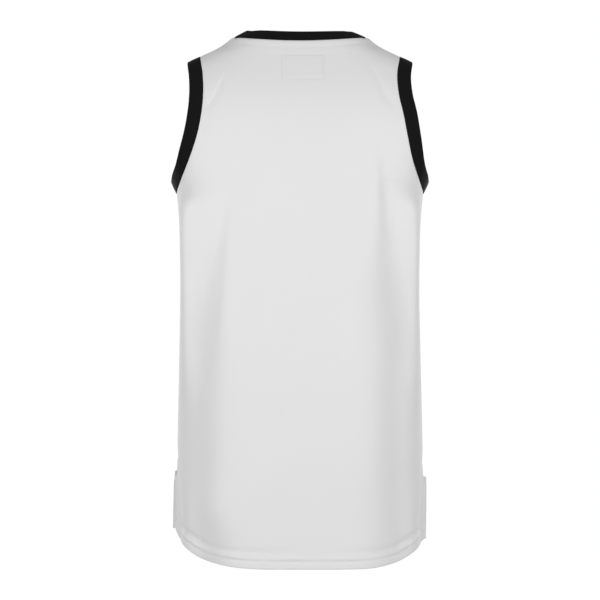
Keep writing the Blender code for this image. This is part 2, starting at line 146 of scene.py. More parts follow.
FALL_COLUMNS = "height reach steepness inner outer"
FALLS = {}
FALLS[BACK, 1] = table(FALL_COLUMNS, [
    (-0.780, 0.132, 0.90, 0.036, 0.012), (-0.725, 0.132, 0.85, 0.032, 0.013),
    (-0.680, 0.138, 0.72, 0.025, 0.014), (-0.620, 0.137, 0.74, 0.028, 0.020),
    (-0.526, 0.136, 0.80, 0.030, 0.018), (-0.470, 0.129, 0.90, 0.022, 0.022),
    (-0.412, 0.119, 0.84, 0.012, 0.032), (-0.355, 0.112, 0.70, 0.009, 0.027),
    (-0.298, 0.1065, 0.58, 0.006, 0.010), (-0.242, 0.099, 0.25, 0.005, 0.006),
    (-0.200, 0.096, 0.00, 0.004, 0.005),
])
FALLS[BACK, -1] = table(FALL_COLUMNS, [
    (-0.780, 0.134, 0.68, 0.040, 0.016), (-0.667, 0.130, 0.68, 0.036, 0.019),
    (-0.582, 0.127, 0.70, 0.028, 0.022), (-0.497, 0.128, 0.83, 0.028, 0.026),
    (-0.440, 0.132, 0.90, 0.030, 0.028), (-0.384, 0.126, 0.88, 0.029, 0.027),
    (-0.327, 0.120, 0.82, 0.018, 0.018), (-0.270, 0.1165, 0.80, 0.008, 0.012),
    (-0.230, 0.114, 0.76, 0.004, 0.008), (-0.190, 0.1125, 0.35, 0.004, 0.006),
    (-0.155, 0.1125, 0.00, 0.004, 0.005),
])
FALLS[FRONT, 1] = table(FALL_COLUMNS, [
    (-0.780, 0.130, 0.75, 0.036, 0.014), (-0.620, 0.134, 0.72, 0.030, 0.020),
    (-0.500, 0.132, 0.80, 0.028, 0.022), (-0.400, 0.122, 0.80, 0.018, 0.026),
    (-0.320, 0.112, 0.62, 0.010, 0.018), (-0.250, 0.104, 0.30, 0.006, 0.008),
    (-0.205, 0.100, 0.00, 0.004, 0.005),
])
FALLS[FRONT, -1] = table(FALL_COLUMNS, [
    (-0.780, 0.134, 0.70, 0.038, 0.015), (-0.640, 0.130, 0.74, 0.030, 0.020),
    (-0.520, 0.128, 0.80, 0.027, 0.024), (-0.420, 0.124, 0.84, 0.025, 0.026),
    (-0.340, 0.116, 0.74, 0.017, 0.019), (-0.270, 0.110, 0.50, 0.009, 0.012),
    (-0.215, 0.106, 0.00, 0.004, 0.005),
])


def fall_depth(side, across, height):
    """How far the flanks lie in front of the flat back: steepness * (inner + w * tanh(d / w)), where d is
    the distance beyond the fall's line and w is its inner or outer spread."""
    drawn = np.zeros(np.broadcast(across, height).shape)
    for wearer_side in (1, -1):
        fall = FALLS[side, wearer_side]
        reach, steepness, inner, outer = (column_at(fall, name, height) for name in list(fall)[1:])
        away = across * wearer_side - reach
        spread = np.where(away > 0, outer, inner)
        drawn = drawn + np.maximum(steepness, 0) * (inner + spread * np.tanh(away / spread))
    return drawn


for place, fall in FALLS.items():
    deepest = (fall["steepness"] * (fall["inner"] + fall["outer"])).max()
    print("the fall at", place, "is up to", round(deepest, 3), "m deep")

# %% [markdown]
# Smaller creases lie over that form: long faint troughs across the middle, and short drag creases that run
# from the armholes. Each is a row: where it starts and ends, how far from the middle it runs at its top,
# middle and bottom, how wide its two walls are, and its depth. A cloth simulation would make creases too,
# but not in these places.

# %% Folds
FOLDS = table("side top bottom reach_top reach_middle reach_bottom inner outer depth", [
    (BACK, -0.330, -0.640, 0.034, 0.037, 0.046, 0.018, 0.018, 0.0022),
    (BACK, -0.300, -0.660, -0.056, -0.060, -0.066, 0.020, 0.020, 0.0022),
    (BACK, -0.055, -0.118, 0.106, 0.119, 0.136, 0.009, 0.005, 0.0028),
    (BACK, -0.045, -0.112, -0.101, -0.116, -0.131, 0.009, 0.007, 0.0020),
    (FRONT, -0.280, -0.640, -0.024, -0.032, -0.044, 0.020, 0.022, 0.0025),
    (FRONT, -0.340, -0.690, 0.052, 0.056, 0.066, 0.018, 0.020, 0.0022),
    (FRONT, -0.115, -0.165, 0.100, 0.112, 0.126, 0.009, 0.008, 0.0018),
])
NARROW_TOP = 0.45
FADE_IN, FADE_OUT = 0.30, 0.25
SIDE_TURN = math.pi / 2


def turn_of(reach, height):
    """The turn from the middle of a panel at which a level section is reach wide: its arcsine."""
    return np.arcsin(np.clip(reach / column_at(RINGS, "half_width", height), -1, 1))


def fold_depth(side, across, height):
    """How far the cloth is drawn in: for each fold, its depth times a fade along it and a bell across it
    with two different walls."""
    drawn = np.zeros(np.broadcast(across, height).shape)
    for i in np.flatnonzero(FOLDS["side"] == side):
        top, bottom, start, middle, end, inner, outer, depth = (FOLDS[name][i] for name in list(FOLDS)[1:])
        down = np.clip((top - height) / (top - bottom), 0, 1)
        straight = start + (end - start) * down
        bow = middle - (start + end) / 2
        away = across - straight - bow * 4 * down * (1 - down)
        grown = NARROW_TOP + (1 - NARROW_TOP) * down
        width = np.where(away * np.sign(middle) > 0, outer, inner) * grown
        fade = smooth_step(down / FADE_IN) * smooth_step((1 - down) / FADE_OUT)
        drawn = drawn + depth * grown * fade * bell(away, width)
    return drawn


print(len(FOLDS["side"]), "folds behind and in front")

# %% [markdown]
# Below the top of each side vent the two panels part, and their free edges stand a few millimetres out or
# in. The cloth function puts the sections, folds and vents together. It is a surface of two parameters,
# the turn round the form and the height, so it can be worked out for a whole grid of points at once.

# %% The cloth surface
VENTS = table("wearer_side top back_top_flare back_foot_flare back_curl back_off "
              "front_top_flare front_foot_flare front_curl front_off", [
    (1, -0.632, -0.0030, 0.0025, 0.006, 0.002, 0.0045, 0.0058, 0.002, 0.010),
    (-1, -0.641, 0.0062, 0.0048, 0.004, 0.003, -0.0010, -0.0015, 0.002, 0.003),
])
VENT_STEP = 0.003
FLARE_TURN = math.radians(88.6)
CURL_LENGTH, LIFT_LENGTH = 0.085, 0.022
PINCH_TURN, CURL_TURN = math.radians(60), math.radians(86.2)
FRONT_HEM = -0.7200
UNDERARM = -0.2300
SLOPE_STEP = 1e-4


def vent_edge(side, turn, height):
    """(beside, off): how far a free vent edge flares sideways and stands off the plane of the side seams.
    Both fade round the body as a square. The curl draws the section in before its last strip, which comes
    out again and so turns its face to the camera."""
    panel = "back_" if side == BACK else "front_"
    beside, off = np.zeros((2,) + np.broadcast(turn, height).shape)
    for i, wearer_side in enumerate(VENTS["wearer_side"]):
        vent = {name.removeprefix(panel): column[i] for name, column in VENTS.items()}
        around, below = turn * wearer_side, vent["top"] - height
        near = np.clip((around - FLARE_TURN) / (SIDE_TURN - FLARE_TURN), 0, 1) ** 2
        pinch = smooth_step((around - PINCH_TURN) / (CURL_TURN - PINCH_TURN))
        strip = smooth_step((around - CURL_TURN) / (SIDE_TURN - CURL_TURN))
        down = np.clip(below / (vent["top"] - FRONT_HEM), 0, 1)
        flare = (vent["top_flare"] + (vent["foot_flare"] - vent["top_flare"]) * down) * near
        curl = vent["curl"] * smooth_step(below / CURL_LENGTH) * (strip - pinch)
        beside = beside + wearer_side * (flare * smooth_step(below / VENT_STEP) + curl)
        off = off + vent["off"] * smooth_step(below / LIFT_LENGTH) * near
    return beside, off


def cloth(side, turn, height):
    """The outer face. Across it is width * sin(turn), and out it is the depth, less the falls and folds,
    times (1 - |sin(turn)|^flatness)^roundness. The vents' edges then stand out from both."""
    turn, height = np.broadcast_arrays(np.asarray(turn, float), np.asarray(height, float))
    depth = column_at(RINGS, "back_depth" if side == BACK else "front_depth", height)
    share = np.sin(turn)
    x = share * column_at(RINGS, "half_width", height)
    closing = np.clip(1 - np.abs(share) ** column_at(RINGS, "flatness", height), 0, 1)
    drawn = fall_depth(side, x, height) + fold_depth(side, x, height)
    out = closing ** column_at(RINGS, "roundness", height) * (depth - drawn)
    beside, off = vent_edge(side, turn, height)
    return np.stack([x + beside, side * (out + off), height], axis=-1)


def unit(vectors):
    """Vectors of length 1."""
    return vectors / np.maximum(np.linalg.norm(vectors, axis=-1, keepdims=True), 1e-12)


def outward(side, turn, height):
    """Unit normals of the cloth, from the cross product of its two slopes."""
    limit = SIDE_TURN - 3 * SLOPE_STEP
    turn = np.clip(turn, -limit, limit)
    ahead = cloth(side, turn + SLOPE_STEP, height) - cloth(side, turn - SLOPE_STEP, height)
    up = cloth(side, turn, height + SLOPE_STEP) - cloth(side, turn, height - SLOPE_STEP)
    return unit(side * np.cross(up, ahead))


print("middle and side at the underarm", np.round(cloth(BACK, [0, SIDE_TURN], UNDERARM), 4).tolist())

# %% [markdown]
# A pattern cutter draws a panel as a flat outline: hem, side, armhole, shoulder and neck. Here the same
# edges lie on the worn form. Above the underarm the grid is a Coons patch, which blends four edge curves,
# so its rows and columns follow the armholes and the neckline and no edge has to be cut out of a mesh
# afterwards.

# %% The edges of the cut
NECK_HALF_WIDTH = 0.098
BACK_NECK_DROP = 0.0091
FRONT_NECK_DROP = 0.095
FRONT_NECK_POWER = 1.7
SHOULDER_TIP = -0.0277
BACK_HEM = -0.7655
NECK_SHARE = 2 / 3

ARMHOLES = table("height back_left back_right front", [
    (-0.230, 0.1798, 0.1798, 0.1798), (-0.213, 0.1708, 0.1712, 0.1690),
    (-0.185, 0.1580, 0.1604, 0.1500), (-0.155, 0.1474, 0.1534, 0.1390),
    (-0.120, 0.1402, 0.1470, 0.1330), (-0.090, 0.1378, 0.1406, 0.1315),
    (-0.060, 0.1394, 0.1392, 0.1345), (-0.0277, 0.1455, 0.1455, 0.1455),
])
# How far the tail's hem rises above its lowest point, by the turn from the middle in degrees.
TAIL = table("turn left_rise right_rise", [
    (0.0, 0.0000, 0.0000), (22.0, 0.0006, 0.0000), (37.0, 0.0038, 0.0010),
    (52.0, 0.0103, 0.0072), (66.0, 0.0224, 0.0178), (80.5, 0.0288, 0.0244),
    (86.2, 0.0302, 0.0256), (88.5, 0.0345, 0.0280), (90.0, 0.0435, 0.0319),
])


def hem_height(side, turn):
    """The back has a rounded tail, and the front is cut straight."""
    if side == FRONT:
        return np.full(np.shape(turn), FRONT_HEM)
    left, right = (column_at(TAIL, name, np.degrees(np.abs(turn))) for name in ("left_rise", "right_rise"))
    return BACK_HEM + np.where(turn > 0, left, right)


def top_edge(side, u):
    """(reach, height) along a panel's top edge: shoulder seam, neckline, shoulder seam."""
    round_neck = np.clip(u / NECK_SHARE, -1, 1) * SIDE_TURN
    down_shoulder = np.clip((np.abs(u) - NECK_SHARE) / (1 - NECK_SHARE), 0, 1)
    if side == BACK:
        height = SHOULDER_TIP * down_shoulder - BACK_NECK_DROP * np.cos(round_neck) ** 2
        return column_at(RINGS, "half_width", height) * np.sin(round_neck), height
    scoop = FRONT_NECK_DROP * np.cos(round_neck) ** FRONT_NECK_POWER
    height = SHOULDER_TIP * down_shoulder - scoop
    on_seam = np.sign(u) * column_at(RINGS, "half_width", height)
    return np.where(down_shoulder > 0, on_seam, NECK_HALF_WIDTH * np.sin(round_neck)), height


def armhole_edge(side, wearer_side, v):
    """(reach, height) along one armhole seam, from the underarm to the shoulder tip."""
    height = UNDERARM + (SHOULDER_TIP - UNDERARM) * v
    name = "front" if side == FRONT else "back_left" if wearer_side > 0 else "back_right"
    return wearer_side * column_at(ARMHOLES, name, height), height


def yoke_places(side, u, v):
    """(turn, height) above the underarm: a Coons patch of that level, the armhole seams and the top."""
    left_share = (1 + np.sin(u * SIDE_TURN)) / 2
    top = top_edge(side, u)
    bottom = column_at(RINGS, "half_width", UNDERARM) * np.sin(u * SIDE_TURN), np.full(u.shape, UNDERARM)
    right_edge, left_edge = armhole_edge(side, -1, v), armhole_edge(side, 1, v)
    patch = []
    for t, b, r, l in zip(top, bottom, right_edge, left_edge):
        ruled = (1 - v) * b + v * t + (1 - left_share) * r + left_share * l
        right_corners = (1 - v) * b[0] + v * t[0]
        left_corners = (1 - v) * b[-1] + v * t[-1]
        patch.append(ruled - (1 - left_share) * right_corners - left_share * left_corners)
    return turn_of(*patch), patch[1]


print("hem, back to front", BACK_HEM, FRONT_HEM, "underarm", UNDERARM)

# %% [markdown]
# Stitch lines and turned edges are only millimetres wide, so the grid is finer where they are: rows about a
# millimetre apart beside the hem, the vent tops and the neckline, and columns that crowd together at the
# side seams.

# %% The grid of a panel
COLUMNS = 232
COLUMN_CROWDING = 0.45
HEM_ZONE, HEM_ROWS, HEM_CROWDING = 0.036, 31, 1.25
FLAP_ROWS = 12
VENT_ZONE, VENT_ROWS = (-0.649, -0.625), 20
WAIST_ROWS = 54
YOKE_ROWS, TOP_ROWS, TOP_SHARE = 54, 26, 0.16
UNDERARM_ROW = -TOP_ROWS - YOKE_ROWS - 1
ON_SEAM = 1e-5
COLUMN_ROOM = 0.004


def column_places():
    """The columns from -1 to 1, crowded towards both sides."""
    even = np.linspace(-1, 1, COLUMNS + 1)
    return even + COLUMN_CROWDING * np.sin(math.pi * even) / math.pi


def panel_places(side):
    """(turn, height) at each grid point of a panel, hem row first, wearer's right column first."""
    u = column_places()
    hem = hem_height(side, u * SIDE_TURN)
    by_hem = hem + HEM_ZONE * np.linspace(0, 1, HEM_ROWS + 1)[:-1, None] ** HEM_CROWDING
    flap_share = np.linspace(0, 1, FLAP_ROWS + 1)[:-1, None]
    flap = (hem + HEM_ZONE) * (1 - flap_share) + VENT_ZONE[0] * flap_share
    by_vent = np.linspace(*VENT_ZONE, VENT_ROWS + 1)[:-1]
    waist = np.linspace(VENT_ZONE[1], UNDERARM, WAIST_ROWS + 1)[:-1]
    levels = np.concatenate([by_vent, waist])[:, None] * np.ones(len(u))
    skirt = np.vstack([by_hem, flap, levels])
    below_top = np.linspace(0, 1 - TOP_SHARE, YOKE_ROWS + 1)[:-1]
    v = np.concatenate([below_top, np.linspace(1 - TOP_SHARE, 1, TOP_ROWS + 1)])[:, None]
    yoke_turn, yoke_height = yoke_places(side, u, v)
    turn = np.vstack([np.broadcast_to(u * SIDE_TURN, skirt.shape), yoke_turn])
    return turn, np.vstack([skirt, yoke_height])


def run_along(grid, axis):
    """The length of cloth from the grid's first row or column to each point: its steps, added up."""
    steps = np.linalg.norm(np.diff(grid, axis=axis), axis=-1)
    return np.insert(np.cumsum(steps, axis=axis), 0, 0, axis=axis)


def grid_normals(grid, side):
    """Unit normals of a grid of points, from the cross product of its row and column steps."""
    return unit(side * np.cross(np.gradient(grid, axis=0), np.gradient(grid, axis=1)))


panels = {}
for side, panel in ((BACK, "back_panel"), (FRONT, "front_panel")):
    turn, height = panel_places(side)
    plain = cloth(side, turn, height)
    on_seam = (SIDE_TURN - np.abs(turn) < ON_SEAM) & (height > np.where(turn > 0, *VENTS["top"]))
    plain[on_seam, 1] = 0
    up, ahead = run_along(plain, 0), run_along(plain, 1)
    uv = np.stack([ahead - ahead[:, [COLUMNS // 2]], up - up[UNDERARM_ROW]], -1)
    panels[panel] = {"side": side, "plain": plain, "height": height, "on_seam": on_seam, "uv": uv}
    print(panel, plain.shape[:2], "points,", round(ahead[:, -1].max(), 3), "x", round(up[-1].max(), 3), "m")

# %% [markdown]
# What makes cloth read as sewn is relief of about a millimetre. It depends on how far each point is from an
# edge and how far along that edge it lies. Both come from one calculation: the nearest point of every
# straight piece of the edge. The same two numbers place the stitches later on.

# %% How far each point is from an edge
def edge_field(grid, line):
    """(distance, length along) from each grid point to the nearest place on a line of points."""
    start, step = line[:-1], np.diff(line, axis=0)
    size = np.maximum((step ** 2).sum(-1), 1e-14)
    lengths = np.insert(np.cumsum(np.sqrt(size)), 0, 0)
    near, along = [], []
    for row in grid:
        away = row[:, None] - start
        share = np.clip((away * step).sum(-1) / size, 0, 1)
        gaps = np.linalg.norm(away - share[..., None] * step, axis=-1)
        best = gaps.argmin(1)
        pick = np.arange(len(row)), best
        near.append(gaps[pick])
        along.append(lengths[best] + share[pick] * np.sqrt(size[best]))
    return np.array(near), np.array(along)


def panel_edges(grid, height):
    """The lines of a panel's free edge, neckline, and two shoulders, armholes and side seams."""
    left, right = (int(np.argmax(height[:, end] > vent)) for end, vent in zip((-1, 0), VENTS["top"]))
    neck = np.flatnonzero(np.abs(column_places()) <= NECK_SHARE + COLUMN_ROOM)
    top, yoke = grid[-1], grid[UNDERARM_ROW:]
    return {
        "free": np.vstack([grid[:right, 0][::-1], grid[0], grid[:left, -1]]),
        "neck": top[neck],
        "right_shoulder": top[: neck[0] + 1],
        "left_shoulder": top[neck[-1]:],
        "right_armhole": yoke[:, 0],
        "left_armhole": yoke[:, -1],
        "right_side": grid[right: UNDERARM_ROW + 1, 0],
        "left_side": grid[left: UNDERARM_ROW + 1, -1],
    }


for panel, data in panels.items():
    lines = panel_edges(data["plain"], data["height"])
    data["fields"] = {name: edge_field(data["plain"], line) for name, line in lines.items()}
    print(panel, {name: round(float(field[1].max()), 3) for name, field in data["fields"].items()})

# %% [markdown]
# A hem is two layers thick. Its stitching pulls a groove that puckers unevenly, and the single cloth above
# it puffs up a little. Nearly all relief is a bell of the distance from an edge, so one table holds most of
# it. Sculpting would give such marks too, but not the same width all along a seam.

# %% Relief of hems, seams and topstitching
HEM_DEPTH = 0.0112
HEM_LIFT, HEM_SOFT = 0.0005, 0.0020
EDGE_DROP, EDGE_ROLL = 0.0012, 0.0010
GROOVE_DEPTH, GROOVE_WIDTH = 0.0011, 0.0024
PUFF_LIFT, PUFF_WIDTH = 0.0014, 0.0045
PUCKER = 0.3
PUCKER_FINE, PUCKER_FADE, PUCKER_SLOW = 0.0036, 0.0173, 0.0131
VENT_FADE = 0.008
SAG_DEPTH, SAG_FROM_EDGE, SAG_WIDTH = 0.0014, 0.0235, 0.0060
SLACK, SLACK_LEFT, SLACK_RIGHT, SLACK_CORNER = 0.2, 0.8, 0.6, 0.8
SLACK_FADE = 0.05
CORNER_START, CORNER_FADE = 0.11, 0.04
NECK_TAPE, SHOULDER_TAPE = 0.0117, 0.0060
ALLOWANCE_LIFT, ALLOWANCE_WIDTH, ALLOWANCE_SOFT = 0.0007, 0.0060, 0.0020
ALLOWANCE_TOP, ALLOWANCE_FADE = -0.38, 0.12
LABEL_SIDES = (-0.0354, 0.0264)
LABEL_FOOT, LABEL_TOP = -0.0692, -0.0313
LABEL_LIFT, LABEL_SOFT, LABEL_GROOVE = 0.0003, 0.0020, 0.0004
# Bells of relief: the edge, how far from it, how wide and how high. Seams are valleys, and topstitching is a
# fine groove in a low swell. The shoulders' seam allowances lift the back once more, and a crease follows.
BELLS = [
    ("neck", 0, 0.0022, -0.0009),
    ("side", 0, 0.0022, -0.0009),
    ("shoulder", 0, 0.0022, -0.0009),
    ("armhole", 0, 0.0022, -0.00036),
    ("neck", NECK_TAPE, 0.0072, 0.00014),
    ("neck", NECK_TAPE, 0.0024, -0.000364),
]
BACK_BELLS = [
    ("shoulder", SHOULDER_TAPE, 0.0072, 0.0002),
    ("shoulder", SHOULDER_TAPE, 0.0024, -0.00052),
    ("shoulder", 0.0190, 0.0070, 0.0010),
    ("shoulder", 0.0290, 0.0034, -0.0012),
]


def hem_relief(away, along):
    """The double layer, its rolled edge, the stitched groove and the puff above it. Groove and puff pucker
    by a fine wave that comes and goes, and by a slower one."""
    fine = np.sin(along / PUCKER_FINE) * np.sin(along / PUCKER_FADE + 1)
    pucker = 1 + PUCKER * (fine + np.sin(along / PUCKER_SLOW))
    layer = HEM_LIFT * smooth_step((HEM_DEPTH - away) / HEM_SOFT + 0.5)
    groove = GROOVE_DEPTH * bell(away - HEM_DEPTH, GROOVE_WIDTH)
    puff = PUFF_LIFT * bell(away - HEM_DEPTH - PUFF_WIDTH, PUFF_WIDTH)
    return layer - EDGE_DROP * bell(away, EDGE_ROLL) + pucker * (puff - groove)


def below_vents(across, height):
    """1 below the vents' tops and 0 above them, because the hem's relief ends there."""
    return smooth_step((np.where(across > 0, *VENTS["top"]) - height) / VENT_FADE + 0.5)


def sag_relief(away, across):
    """The hollow over the hem's puff, deepest at the corners and at the wearer's left, where it is slack."""
    slack = SLACK + SLACK_LEFT * smooth_step(across / SLACK_FADE)
    slack += SLACK_RIGHT * smooth_step(-across / SLACK_FADE - 1)
    slack += SLACK_CORNER * smooth_step((np.abs(across) - CORNER_START) / CORNER_FADE)
    return -SAG_DEPTH * slack * bell(away - SAG_FROM_EDGE, SAG_WIDTH)


def allowance_relief(away, height):
    """The side seam's allowances lie to the back inside, and lift the cloth beside the seam."""
    low = smooth_step((ALLOWANCE_TOP - height) / ALLOWANCE_FADE)
    return low * ALLOWANCE_LIFT * smooth_step((ALLOWANCE_WIDTH - away) / ALLOWANCE_SOFT + 1)


def label_relief(points):
    """The label inside lifts the cloth over a soft-edged rectangle, and its stitching pulls a groove."""
    x, z = points[..., 0], points[..., 2]
    inside = np.minimum.reduce([x - LABEL_SIDES[0], LABEL_SIDES[1] - x, z - LABEL_FOOT, LABEL_TOP - z])
    return LABEL_LIFT * smooth_step(inside / LABEL_SOFT + 1) - LABEL_GROOVE * bell(inside, GROOVE_WIDTH)


for panel, data in panels.items():
    away = {name: field[0] for name, field in data["fields"].items()}
    for seam in ("side", "shoulder", "armhole"):
        away[seam] = np.minimum(away["left_" + seam], away["right_" + seam])
    across, height = data["plain"][..., 0], data["height"]
    relief = hem_relief(*data["fields"]["free"]) * below_vents(across, height)
    behind = data["side"] == BACK
    for edge, distance, width, rise in BELLS + BACK_BELLS * behind:
        relief += rise * bell(away[edge] - distance, width)
    if behind:
        relief += sag_relief(away["free"], across) + allowance_relief(away["side"], height)
        relief += label_relief(data["plain"])
    data["points"] = data["plain"] + relief[..., None] * grid_normals(data["plain"], data["side"])
    data["points"][data["on_seam"], 1] = 0
    data["normal"] = grid_normals(data["points"], data["side"])
    print(panel, "relief from and to", np.round([relief.min(), relief.max()], 5), "m")

# %% [markdown]
# One helper turns a grid of points into a mesh of quads. A grid may join up both ways, as a folded strip
# does round an opening. The pattern coordinates go on the corners of the faces, in metres, so that a knit
# drawn at its real scale keeps it on every piece.

# %% From a grid to a mesh
CLOTH = 0.0009


def add_mesh(name, points, faces):
    """A smooth piece from points and faces."""
    mesh = bpy.data.meshes.new(name)
    mesh.from_pydata(points.reshape(-1, 3).tolist(), [], faces)
    mesh.shade_smooth()
    return add_object(name, mesh)


def add_surface(name, points, uv, flip=False):
    """A mesh of quads. The uv grid has one more row or column than the points where the grid closes."""
    rows, columns = points.shape[:2]
    row, column = np.indices((uv.shape[0] - 1, uv.shape[1] - 1))
    corners = [(row, column), (row, column + 1), (row + 1, column + 1), (row + 1, column)]
    if flip:
        corners = corners[::-1]
    faces = np.stack([(r % rows) * columns + c % columns for r, c in corners], -1).reshape(-1, 4)
    corner_uv = np.stack([uv[r, c] for r, c in corners], -2).reshape(-1, 2)
    piece = add_mesh(name, points, faces.tolist())
    piece.data.uv_layers.new(name="cloth").data.foreach_set("uv", corner_uv.ravel())
    return piece


def give_wall(piece, thickness):
    """A thin wall, grown inwards from the outer face."""
    wall = piece.modifiers.new("wall", "SOLIDIFY")
    wall.thickness, wall.offset = thickness, -1


def triangles(piece):
    """How many triangles the finished piece has."""
    whole = piece.evaluated_get(bpy.context.evaluated_depsgraph_get()).to_mesh()
    whole.calc_loop_triangles()
    return len(whole.loop_triangles)


pieces = {}
for panel, data in panels.items():
    pieces[panel] = add_surface(panel + "_cloth", data["points"], data["uv"], flip=data["side"] == BACK)
    give_wall(pieces[panel], CLOTH)
    print(panel, triangles(pieces[panel]), "triangles")

# %% [markdown]
# The black bands are strips folded double lengthwise and sewn round each opening, so each has a rounded
# free edge and no hem. The strip's cross-section is a profile, and the seam is its path. The profile is
# carried along the path in a frame of three directions: along the seam, across the band, and away from the
# body. At the underarm the armhole bands lean outwards, and at the nape the neckband leans in.

# %% The paths of the bands
STATIONS = 300
NECKBAND_WIDTH = 0.0225
ARMBAND_WIDTH = 0.0205
# How steeply the neckband rises above level behind and over the shoulders, in degrees. It stands up most in
# the middle and lies lower at the wearer's right.
COLLAR = table("across slope", [
    (-0.098, 24.0), (-0.084, 29.0), (-0.074, 33.5), (-0.060, 37.0),
    (-0.040, 40.0), (0.000, 42.0), (0.030, 42.0), (0.055, 40.5),
    (0.066, 38.5), (0.075, 35.0), (0.085, 31.0), (0.098, 29.5),
])
COLLAR_FADE = 0.040
UNDERARM_LEAN = 0.28
LEAN_REACH = 0.028
NORMAL_BLUR = 9
NECK_STEPS, ARMHOLE_STEPS = 400, 200


def at_steps(values, run, steps):
    """Rows of values that belong to runs of length along a line, read at other steps of length."""
    return np.stack([np.interp(steps, run, column) for column in values.T], 1)


def blurred(values, reach):
    """The mean of each value on a closed line and its neighbours on both sides."""
    return sum(np.roll(values, k, axis=0) for k in range(-reach, reach + 1)) / (2 * reach + 1)


def seam_loop(edge_of, share):
    """(points, normals, length) at equal steps round an opening, over the back edge and home by the front."""
    halves = []
    for side in (BACK, FRONT):
        reach, height = edge_of(side, share)
        turn = turn_of(reach, height)
        halves.append(np.hstack([cloth(side, turn, height), outward(side, turn, height)]))
    ring = np.vstack([halves[0], halves[1][-2:0:-1], halves[0][:1]])
    run = run_along(ring[:, :3], 0)
    ring = at_steps(ring, run, np.linspace(0, run[-1], STATIONS, endpoint=False))
    return ring[:, :3], unit(blurred(ring[:, 3:], NORMAL_BLUR)), run[-1]


print("collar slopes", COLLAR["slope"].min(), "to", COLLAR["slope"].max(), "degrees")

# %% [markdown]
# The profile is a flat loop: the outer face with a slight crown, the round free edge, the inner face, and
# the end that tucks under the panel at the seam.

# %% The bands
BAND_WALL = 0.0020
BAND_CROWN = 0.0004
TUCK, TUCK_SOFT = 0.0012, 0.0015
FACE_STEPS, ROUND_STEPS = 10, 6


def strip_profile(width):
    """(across, away) round a folded strip: two flat runs joined by half circles."""
    radius = BAND_WALL / 2
    run = np.linspace(0, 1, FACE_STEPS)
    turn = np.linspace(math.pi / 2, -math.pi / 2, ROUND_STEPS + 2)[1:-1]
    across = -TUCK + (width + TUCK - radius) * run
    outer = np.stack([across, BAND_CROWN * 4 * run * (1 - run) - radius * bell(across + TUCK, TUCK_SOFT)], 1)
    edge = np.stack([width - radius + radius * np.cos(turn), radius * np.sin(turn) - radius], 1)
    inner = np.stack([across[::-1], np.full(FACE_STEPS, -BAND_WALL)], 1)
    return np.vstack([outer, edge, inner])


def band_frame(loop, opening):
    """(ahead, across, away) at each station: along the seam, into the opening, and off the body."""
    seam, away, _ = loop
    ahead = unit(np.roll(seam, -1, axis=0) - np.roll(seam, 1, axis=0))
    across = unit(np.cross(away, ahead))
    return ahead, across * np.sign(np.sum(across * (opening - seam), axis=1, keepdims=True)), away


def add_band(name, loop, width, across, away, lean):
    """The strip's profile carried round a seam: seam + reach * across + lift * away. A lean of 1 turns the
    strip 45 degrees off the body."""
    seam, _, length = loop
    lean = np.reshape(lean, (-1, 1))
    out, off = unit(across + lean * away), unit(away - lean * across)
    profile = strip_profile(width)
    reach, lift = profile[:, 0, None, None], profile[:, 1, None, None]
    tucked = seam + np.minimum(reach, 0) * across + np.maximum(reach, 0) * out
    points = tucked + lift * np.where(reach < 0, away, off)
    around = run_along(np.vstack([profile, profile[:1]])[:, None], 0)
    uv = np.stack(np.broadcast_arrays(np.linspace(0, length, STATIONS + 1), around), -1)
    first, second = points[0, 1] - points[0, 0], points[1, 0] - points[0, 0]
    band = add_surface(name + "_knit", points, uv, flip=np.cross(first, second) @ away[0] < 0)
    print(name, round(length, 3), "m round,", triangles(band), "triangles")
    return band, length


def collar_lean(seam, ahead, across, away):
    """The lean that makes the neckband a cone which rises above level by the slopes of COLLAR. In front it
    fades out, because there the band lies on the chest."""
    inward = unit(np.cross(ahead, [0, 0, 1]))
    inward = inward * np.sign(np.sum(inward * across, axis=1, keepdims=True))
    slope = np.radians(column_at(COLLAR, "slope", seam[:, :1]))
    aim = np.cos(slope) * inward + np.sin(slope) * np.array([0, 0, 1])
    lean = np.sum(aim * away, axis=1) / np.sum(aim * across, axis=1)
    return lean * smooth_step(1 + seam[:, 1] / COLLAR_FADE)


band_length = {}
loop = seam_loop(top_edge, np.linspace(-NECK_SHARE, NECK_SHARE, NECK_STEPS))
ahead, across, away = band_frame(loop, loop[0].mean(axis=0))
lean = collar_lean(loop[0], ahead, across, away)
pieces["neckband"], band_length["neckband"] = add_band("neckband", loop, NECKBAND_WIDTH, across, away, lean)
up_armhole = (1 - np.cos(np.linspace(0, math.pi, ARMHOLE_STEPS))) / 2
for wearer_side, band in ((1, "armhole_band_left"), (-1, "armhole_band_right")):
    loop = seam_loop(lambda side, v: armhole_edge(side, wearer_side, v), up_armhole)
    opening = loop[0].mean(axis=0) + np.array([wearer_side * NECK_HALF_WIDTH, 0, 0])
    ahead, across, away = band_frame(loop, opening)
    lean = UNDERARM_LEAN * smooth_step(1 - (loop[0][:, 2] - UNDERARM) / LEAN_REACH)
    pieces[band], band_length[band] = add_band(band, loop, ARMBAND_WIDTH, across, away, lean)

# %% [markdown]
# The label is a bare woven patch inside the back of the neck. It lies on the cloth, so it is made from the
# same surface, moved in by the wall of the panel.

# %% The label
LABEL_GRID = (24, 16)
LABEL_WALL = 0.0005
LABEL_GAP = 0.0003

